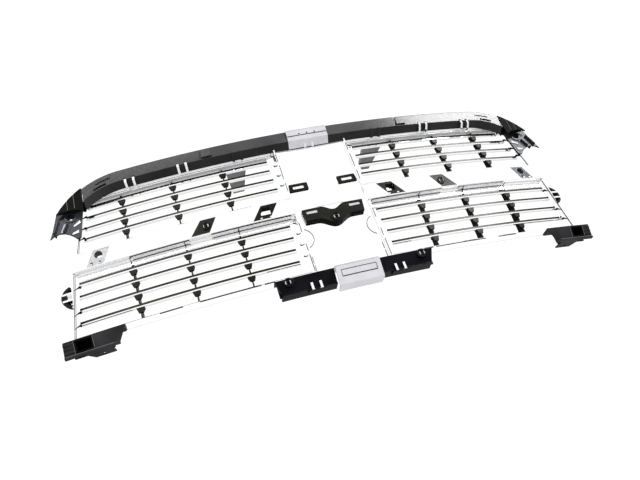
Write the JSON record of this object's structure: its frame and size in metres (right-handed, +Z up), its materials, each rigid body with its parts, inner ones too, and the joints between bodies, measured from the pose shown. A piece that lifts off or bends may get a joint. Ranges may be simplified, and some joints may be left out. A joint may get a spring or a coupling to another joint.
{
  "type": "vehicle front grille insert",
  "caption": "Bowed grille insert: chromed louvre panels in four quarters round a cross band and flat centre column, with a dark curved top rail and lower brackets for an outer surround.",
  "frame": {"origin": "on the flat emblem seat of the centre column, in the middle between the left and right halves and level with the cross band", "axes": "+X to the right as seen from the front, -Y to the front, +Z up"},
  "size_m": [1.094, 0.1611, 0.386],
  "materials": {
    "chrome": "bright plated moulding",
    "black_plastic": "moulded gloss black with a faint orange-peel",
    "black_inner_plastic": "moulded black, semi-gloss",
    "satin_plastic": "light silver satin paint",
    "grey_plastic": "unpainted moulded grey",
    "screw_steel": "zinc plated"
  },
  "bodies": {
    "root": {"upper_left_blade_1": "chrome", "upper_left_blade_2": "chrome", "upper_left_blade_3": "chrome", "upper_left_blade_4": "chrome", "upper_right_blade_1": "chrome", "upper_right_blade_2": "chrome", "upper_right_blade_3": "chrome", "upper_right_blade_4": "chrome", "lower_left_blade_1": "chrome", "lower_left_blade_2": "chrome", "lower_left_blade_3": "chrome", "lower_left_blade_4": "chrome", "lower_right_blade_1": "chrome", "lower_right_blade_2": "chrome", "lower_right_blade_3": "chrome", "lower_right_blade_4": "chrome", "upper_left_lips": "black_inner_plastic", "upper_right_lips": "black_inner_plastic", "lower_left_lips": "black_inner_plastic", "lower_right_lips": "black_inner_plastic", "upper_left_posts": "black_inner_plastic", "upper_right_posts": "black_inner_plastic", "lower_left_posts": "black_inner_plastic", "lower_right_posts": "black_inner_plastic", "upper_left_frame": "chrome", "upper_right_frame": "chrome", "lower_left_frame": "chrome", "lower_right_frame": "chrome", "upper_rail": "black_plastic", "rail_centre_pad": "satin_plastic", "rail_left_cap": "black_plastic", "rail_right_cap": "black_plastic", "left_ear_bracket": "black_plastic", "right_ear_bracket": "black_plastic", "rail_snap_clips": "chrome", "panel_snap_clips": "chrome", "centre_column": "chrome", "emblem_retainer": "black_inner_plastic", "left_slot_bezel": "black_inner_plastic", "right_slot_bezel": "black_inner_plastic", "left_cross_bar": "chrome", "right_cross_bar": "chrome", "left_inner_pocket": "black_inner_plastic", "left_middle_pocket": "black_inner_plastic", "left_outer_pocket": "black_inner_plastic", "right_inner_pocket": "black_inner_plastic", "right_middle_pocket": "black_inner_plastic", "right_outer_pocket": "black_inner_plastic", "left_lower_strip": "black_plastic", "right_lower_strip": "black_plastic", "lower_centre_pad": "satin_plastic", "left_lower_bracket": "black_plastic", "right_lower_bracket": "black_plastic", "left_bracket_block": "black_plastic", "right_bracket_block": "black_plastic", "left_side_clip": "chrome", "right_side_clip": "chrome", "left_rear_bracket": "grey_plastic", "right_rear_bracket": "grey_plastic", "panel_screws": "screw_steel"}
  },
  "joints": []
}
